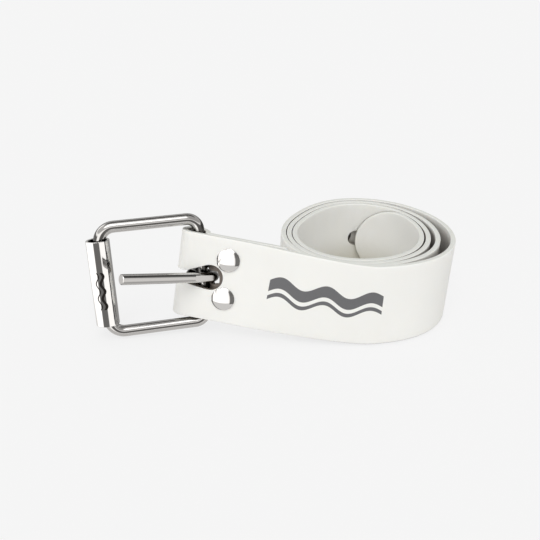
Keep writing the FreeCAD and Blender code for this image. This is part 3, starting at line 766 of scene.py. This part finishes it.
def steel(name, tint, rough, gaps, shelter, scratch=0.000004):
    """Polished stainless steel with fine scratches, with painted shade inside narrow gaps.

    Gaps are the dark places in the room whose reflections are painted into this piece's base colour.
    Shelter is the openness at which the painted shade is darkest and the openness from which the steel is
    bright.
    """
    shader = Shader(name, Metallic=1.0)
    fine = shader.noise(900, 5, shader.coordinates(), 0.7)
    # painted shade: the steel's colour is darkened where little is open around it
    dark = tuple(0.12 * value for value in tint[:3]) + (1,)
    tone = shader.mix(shader.between(shader.openness(0.012), *shelter), dark, tint)
    bearing = shader.bearing(shader.nodes.new("ShaderNodeTexCoord").outputs["Reflection"])
    # painted reflection: base colour darkened where the mirrored direction falls on a dark place
    for azimuths, heights, left_over in gaps:
        shade = shader.panel(bearing, (azimuths, heights), 4.0)
        tone = shader.mix(shader.math("MULTIPLY", shade, 1 - left_over), tone, STEEL_PAINTED_DARK_REFLECTION)
    shader.set(shader.surface, "Base Color", tone)
    shader.set(shader.surface, "Roughness", shader.between(fine, 0.3, 0.7, rough * 0.8, rough * 1.2))
    shader.set(shader.surface, "Normal", shader.bump(fine, scratch, 0.5))
    return shader, tone


def etch(shader, tone):
    """Generic wave mark etched along the roller, on the side that faces forward."""
    node = frame["nodes"]["roller"]
    local = node.matrix_world.inverted()
    axis = Vector(joints["roller_spin"]["axis"])
    facing = Vector(ETCH_FACING)
    facing = (facing - axis * facing.dot(axis)).normalized()
    place = shader.coordinates()

    def measured(direction):
        scaled = shader.nodes.new("ShaderNodeVectorMath")
        scaled.operation = "DOT_PRODUCT"
        shader.set(scaled, 0, place)
        shader.set(scaled, 1, local.to_3x3() @ direction)
        offset = (local @ Vector(joints["roller_spin"]["pos_m"])).dot(local.to_3x3() @ direction)
        return shader.math("MULTIPLY", shader.math("SUBTRACT", scaled.outputs["Value"], offset), 1 / MM)

    turn = shader.math("ARCTAN2", measured(axis.cross(facing)), measured(facing))
    around = shader.math("MULTIPLY", turn, ROLLER_RADIUS)
    along = measured(axis)
    bold = wave_mark(shader, along, around, (ETCH_ALONG, 0.9), ETCH_LENGTH, ETCH_HEIGHT, 1.6)
    fine = wave_mark(shader, along, around, (ETCH_ALONG, -1.7), ETCH_LENGTH, ETCH_HEIGHT, 0.7)
    mark = shader.math("MAXIMUM", bold, fine)
    shader.set(shader.surface, "Base Color", shader.mix(mark, tone, ETCHED))
    shader.set(shader.surface, "Normal", shader.bump(mark, -0.00005))


def dress(node, tint, rough, gaps=(), shelter=(0.05, 0.45)):
    """Give a CAD piece its steel."""
    shader, tone = steel(node + "_steel", tint, rough, gaps, shelter)
    mesh = frame["nodes"][node].data
    mesh.materials.clear()
    mesh.materials.append(shader.material)
    return shader, tone


strap = make_strap()
strap.data.materials.append(rubber())
dress("buckle_frame", STEEL, 0.12, FRAME_PAINTED_REFLECTIONS, (0.0, 0.15))
dress("prong", STEEL, 0.14, PRONG_PAINTED_REFLECTIONS, (0.35, 0.85))
etch(*dress("roller", BRIGHT_STEEL, 0.07, ROLLER_PAINTED_REFLECTIONS))
for level in ("upper", "lower"):
    dress(level + "_rivet_cap", BRIGHT_STEEL, 0.05, CAP_PAINTED_REFLECTIONS)
    dress(level + "_rivet_post", STEEL, 0.2)

# ------------------------------------------------------------------------- floor, light and camera


def make_floor():
    """Plain pale floor that fills the view, with only a faint shadow. Steel does not mirror it."""
    mesh = bpy.data.meshes.new("floor")
    far = 6.0
    mesh.from_pydata([(-far, -far, 0), (far, -far, 0), (far, far, 0), (-far, far, 0)], [], [(0, 1, 2, 3)])
    floor = bpy.data.objects.new("floor", mesh)
    bpy.context.scene.collection.objects.link(floor)
    shader = Shader("pale_floor", Roughness=0.9)
    shader.set(shader.surface, "Base Color", (0.88, 0.88, 0.88, 1))
    shader.set(shader.surface, "Specular IOR Level", 0.0)
    glow = shader.nodes.new("ShaderNodeEmission")
    shader.set(glow, "Color", FLOOR_TONE)
    blend = shader.nodes.new("ShaderNodeMixShader")
    shader.set(blend, 0, shader.math("MULTIPLY", shader.ray("Is Camera Ray"), FLOOR_GLOW))
    shader.set(blend, 1, shader.surface.outputs[0])
    shader.set(blend, 2, glow.outputs[0])
    shader.set(shader.nodes["Material Output"], "Surface", blend.outputs[0])
    mesh.materials.append(shader.material)
    floor.visible_glossy = False


def make_studio():
    """Even white light, and for the steel to mirror a room of pale and dark panels."""
    world = bpy.data.worlds.new("studio")
    bpy.context.scene.world = world
    world.use_nodes = True
    wiring = Wiring(world.node_tree)
    plain = wiring.nodes["Background"]
    wiring.set(plain, "Color", (1, 1, 1, 1))
    wiring.set(plain, "Strength", WORLD_LIGHT)
    bearing = wiring.bearing(wiring.nodes.new("ShaderNodeTexCoord").outputs["Generated"])
    level = ROOM_BRIGHTNESS
    for azimuths, heights, brightness in PANELS:
        change = wiring.math("SUBTRACT", brightness, level)
        covered = wiring.panel(bearing, (azimuths, heights), 3.0)
        level = wiring.math("MULTIPLY_ADD", change, covered, level)
    mirrored = wiring.nodes.new("ShaderNodeBackground")
    wiring.set(mirrored, "Color", (1.0, 0.985, 0.965, 1))
    wiring.set(mirrored, "Strength", level)
    choice = wiring.nodes.new("ShaderNodeMixShader")
    wiring.set(choice, 0, wiring.ray("Is Glossy Ray"))
    wiring.set(choice, 1, plain.outputs[0])
    wiring.set(choice, 2, mirrored.outputs[0])
    wiring.set(wiring.nodes["World Output"], "Surface", choice.outputs[0])


def add_sun(name, direction, strength, softness):
    """Distant soft light that shines along a direction. Softness is the width it fills, in degrees."""
    light = bpy.data.lights.new(name, "SUN")
    light.energy = strength
    light.angle = math.radians(softness)
    lamp = bpy.data.objects.new(name, light)
    lamp.rotation_euler = Vector(direction).to_track_quat("-Z", "Y").to_euler()
    bpy.context.scene.collection.objects.link(lamp)


def make_camera():
    """Camera a little above the belt, square on to it."""
    camera = bpy.data.cameras.new("camera")
    camera.sensor_width = 36.0
    camera.lens = LENS
    viewer = bpy.data.objects.new("camera", camera)
    viewer.matrix_world = (Matrix.Translation(CAMERA)
                           @ Matrix.Rotation(math.pi / 2 - CAMERA_DOWN, 4, "X")
                           @ Matrix.Rotation(CAMERA_ROLL, 4, "Z"))
    bpy.context.scene.collection.objects.link(viewer)
    bpy.context.scene.camera = viewer


make_floor()
make_studio()
add_sun("key_light", KEY_DIRECTION, KEY_STRENGTH, KEY_SOFTNESS)
make_camera()
bpy.context.scene.view_settings.view_transform = "Standard"
